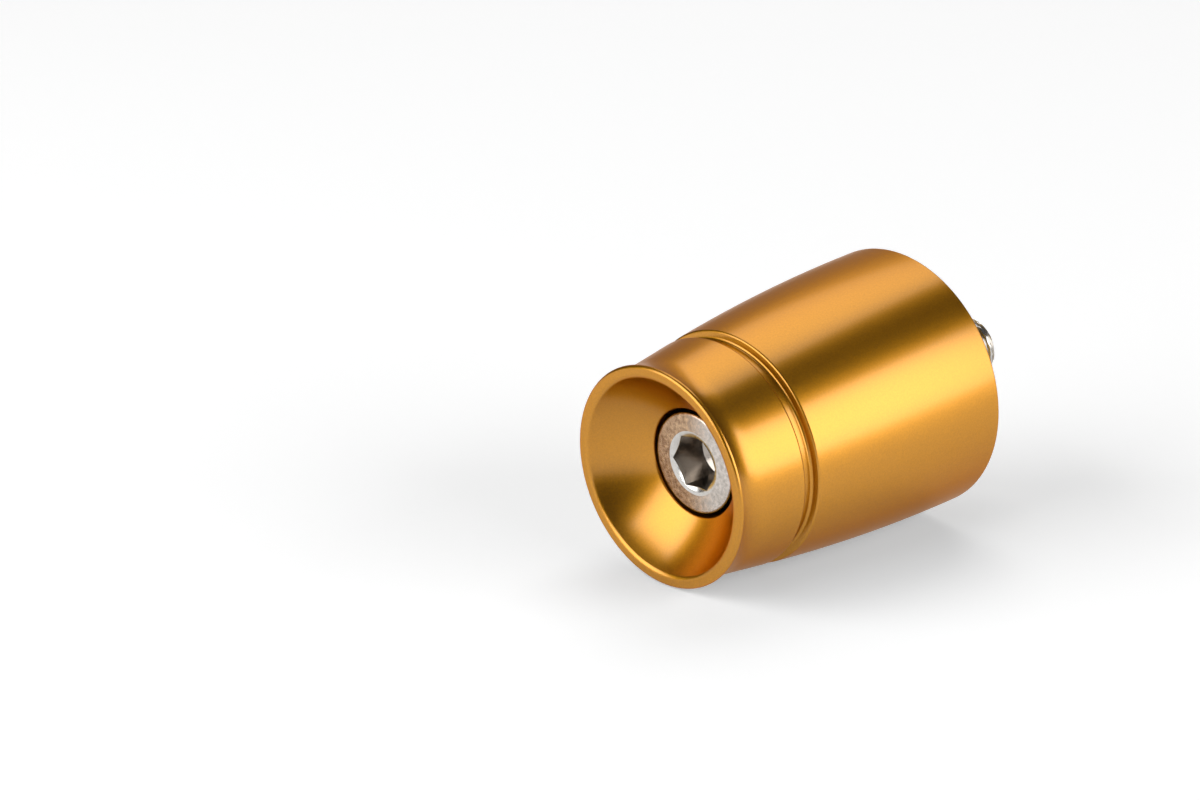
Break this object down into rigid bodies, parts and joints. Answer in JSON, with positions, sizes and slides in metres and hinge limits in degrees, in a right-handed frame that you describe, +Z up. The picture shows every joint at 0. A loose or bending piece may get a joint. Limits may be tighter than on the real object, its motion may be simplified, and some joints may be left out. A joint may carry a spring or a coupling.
{
  "type": "bar end weight",
  "caption": "Turned bar end weight with a bowed barrel, ring groove, flared rim and dished mouth, held by a socket head cap screw.",
  "frame": {"origin": "centre of the seat face that meets the end of the handlebar, on the screw's axis", "axes": "+X along the screw's axis into the handlebar, the mouth faces -X, +Z up with the axis lying level"},
  "size_m": [0.0554, 0.0332, 0.0332],
  "materials": {
    "gold_anodised": "satin gold anodising over fine turning lines",
    "stainless_steel": "fine grained stainless steel"
  },
  "bodies": {
    "root": {"weight_body": "gold_anodised", "cap_screw": "stainless_steel"}
  },
  "joints": []
}
